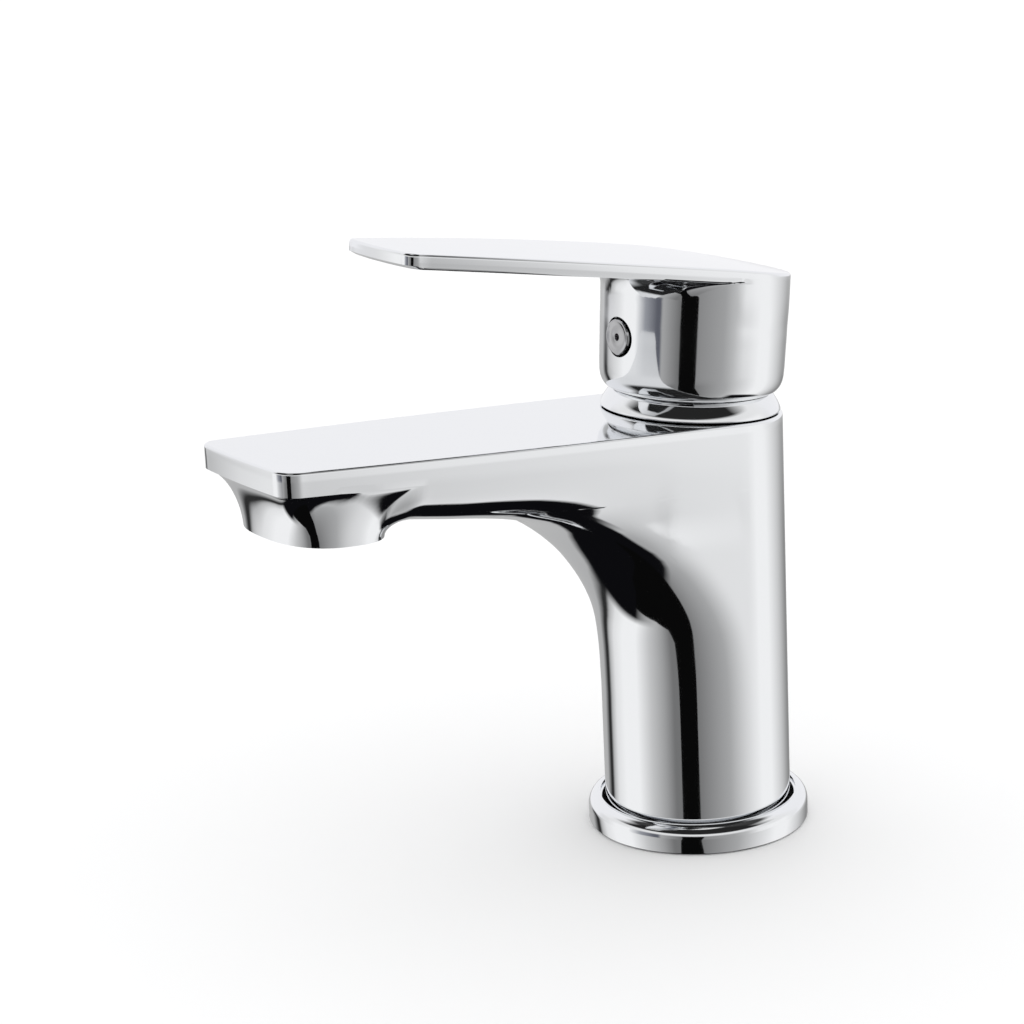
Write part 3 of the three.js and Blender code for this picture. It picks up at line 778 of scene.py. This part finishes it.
def studio_world():
    """Light for the chrome to reflect, set by where it comes from: a turn round the mixer and a height."""
    world = bpy.data.worlds.new("studio")
    world.use_nodes = True
    nodes, links = world.node_tree.nodes, world.node_tree.links
    nodes.clear()

    def maths(kind, a, b=None):
        node = nodes.new("ShaderNodeMath")
        node.operation = kind
        for socket, value in zip(node.inputs, (a, b)):
            if isinstance(value, (int, float)):
                socket.default_value = value
            elif value is not None:
                links.new(value, socket)
        return node.outputs[0]

    def ramp(value, stops):
        node = nodes.new("ShaderNodeValToRGB")
        links.new(value, node.inputs[0])
        marks = node.color_ramp.elements
        for _ in stops[2:]:
            marks.new(0.5)
        for mark, (place, colour) in zip(marks, stops):
            mark.position = place
            mark.color = (*colour, 1) if isinstance(colour, tuple) else (colour, colour, colour, 1)
        return node.outputs[0]

    def mix(share, first, second):
        node = nodes.new("ShaderNodeMixRGB")
        links.new(share, node.inputs[0])
        for socket, value in zip(node.inputs[1:], (first, second)):
            if isinstance(value, tuple):
                socket.default_value = (*value, 1)
            else:
                links.new(value, socket)
        return node.outputs[0]

    def at(degrees):
        return 0.5 + degrees / 360

    def up(degrees):
        return 0.5 + degrees / 180

    # The turn is 0 to 1 for -180 to 180 degrees, with 0.5 on the lens's side. The height is 0 to 1 for -90
    # to 90 degrees.
    coords = nodes.new("ShaderNodeTexCoord")
    split = nodes.new("ShaderNodeSeparateXYZ")
    links.new(coords.outputs["Generated"], split.inputs[0])
    x, y, z = split.outputs
    c, s = math.cos(CAMERA_AZIMUTH), math.sin(CAMERA_AZIMUTH)
    toward = maths("SUBTRACT", maths("MULTIPLY", x, s), maths("MULTIPLY", y, c))
    across = maths("ADD", maths("MULTIPLY", x, c), maths("MULTIPLY", y, s))
    turn = maths("ADD", maths("MULTIPLY", maths("ARCTAN2", across, toward), 0.5 / math.pi), 0.5)
    height = maths("ADD", maths("MULTIPLY", maths("ARCSINE", z), 1 / math.pi), 0.5)

    # Upright strips all round: one set more than 17 degrees below the horizon, which the column shows, and
    # one above that, which the leaning handle shows
    low = ramp(turn, [
        (at(-180), 0.50), (at(-146), 0.47), (at(-134), 0.03), (at(-129), 0.03), (at(-124), 0.50),
        (at(-114), 0.85), (at(-98), 1.0), (at(-76), 1.0), (at(-56), 0.62), (at(-38), 0.38),
        (at(-26), 0.19), (at(3), 0.20), (at(42), 0.43), (at(66), 0.75), (at(88), 1.0),
        (at(106), 1.0), (at(130), 0.66), (at(146), 0.40), (at(158), 0.26), (at(180), 0.40),
    ])
    dusk = (0.12, 0.125, 0.15)
    high = ramp(turn, [
        (at(-180), 0.55), (at(-146), 0.55), (at(-137), 0.05), (at(-132), 0.05), (at(-126), 0.50),
        (at(-112), 0.75), (at(-94), 1.0), (at(-76), 1.0), (at(-62), (0.34, 0.35, 0.38)),
        (at(-46), dusk), (at(-42), dusk), (at(-39), 0.42), (at(-18), 0.18), (at(5), 0.28),
        (at(36), 0.39), (at(50), 0.56), (at(64), 0.90), (at(80), 1.0), (at(100), 1.0),
        (at(125), 0.75), (at(150), 0.50), (at(180), 0.50),
    ])
    strips = mix(ramp(height, [(up(-17), 0.0), (up(-12), 1.0)]), low, high)

    # A bright ceiling over a broad black band, which draws the fine dark lines along the rounded rims
    near_sky = ramp(height, [(up(30), 0.85), (up(36), 0.02), (up(78), 0.02), (up(84), 0.95)])
    far_sky = ramp(height, [(up(48), 0.90), (up(56), 0.05), (up(76), 0.05), (up(82), 0.95)])
    beyond = ramp(turn, [(at(-115), 1.0), (at(-90), 0.0), (at(70), 0.0), (at(100), 1.0)])
    sky = mix(beyond, near_sky, far_sky)
    room = mix(ramp(height, [(up(10), 0.0), (up(20), 1.0)]), strips, sky)

    # A white wall behind the mixer, for the flat tops of the spout and the lever
    behind = ramp(turn, [(at(-125), 1.0), (at(-105), 0.0), (at(105), 0.0), (at(125), 1.0)])
    wall = ramp(height, [(up(-11), 0.0), (up(-6), 1.0), (up(46), 1.0), (up(54), 0.0)])
    room = mix(maths("MULTIPLY", behind, wall), room, (0.95, 0.95, 0.97))

    # Black underfoot, which reaches higher at the sides and behind than on the lens's side
    front_black = ramp(height, [(up(-66), 1.0), (up(-60), 0.0)])
    side_black = ramp(height, [(up(-50), 1.0), (up(-45), 0.0)])
    sides = ramp(turn, [(at(-80), 1.0), (at(-45), 0.0), (at(48), 0.0), (at(62), 1.0)])
    room = mix(mix(sides, front_black, side_black), room, (0.004, 0.004, 0.005))

    # A tall black board beside the lens, which widens below, to the left as the lens looks
    left = ramp(height, [
        (up(-56), at(-80)), (up(-51), at(-46)), (up(-44), at(-27)), (up(-34), at(-20)),
        (up(-20), at(-18.5)), (up(-13), at(-17)),
    ])
    right = ramp(height, [(up(-45), at(8)), (up(-20), at(2.5)), (up(0), at(5))])
    board = maths("MULTIPLY", maths("GREATER_THAN", turn, left), maths("LESS_THAN", turn, right))
    board = maths("MULTIPLY", board, maths("LESS_THAN", height, up(12)))
    room = mix(board, room, (0.003, 0.003, 0.003))

    # The lens itself sees plain white, and the floor and the dull finishes are lit by white
    path = nodes.new("ShaderNodeLightPath")
    seen = mix(path.outputs["Is Camera Ray"], room, (1.0, 1.0, 1.0))
    seen = mix(path.outputs["Is Diffuse Ray"], seen, (1.3, 1.3, 1.3))
    background = nodes.new("ShaderNodeBackground")
    out = nodes.new("ShaderNodeOutputWorld")
    links.new(seen, background.inputs[0])
    links.new(background.outputs[0], out.inputs[0])
    bpy.context.scene.world = world


def floor():
    bm = bmesh.new()
    bmesh.ops.create_grid(bm, x_segments=1, y_segments=1, size=FLOOR_HALF)
    mesh = bpy.data.meshes.new("studio_floor")
    bm.to_mesh(mesh)
    bm.free()
    plane = bpy.data.objects.new("studio_floor", mesh)
    bpy.context.scene.collection.objects.link(plane)
    paint = bpy.data.materials.new("floor_white")
    paint.use_nodes = True
    shader = paint.node_tree.nodes["Principled BSDF"]
    shader.inputs["Base Color"].default_value = (0.9, 0.9, 0.9, 1)
    shader.inputs["Roughness"].default_value = 0.8
    mesh.materials.append(paint)
    plane.visible_glossy = False


studio_world()
floor()
bpy.context.scene.view_settings.view_transform = "Standard"
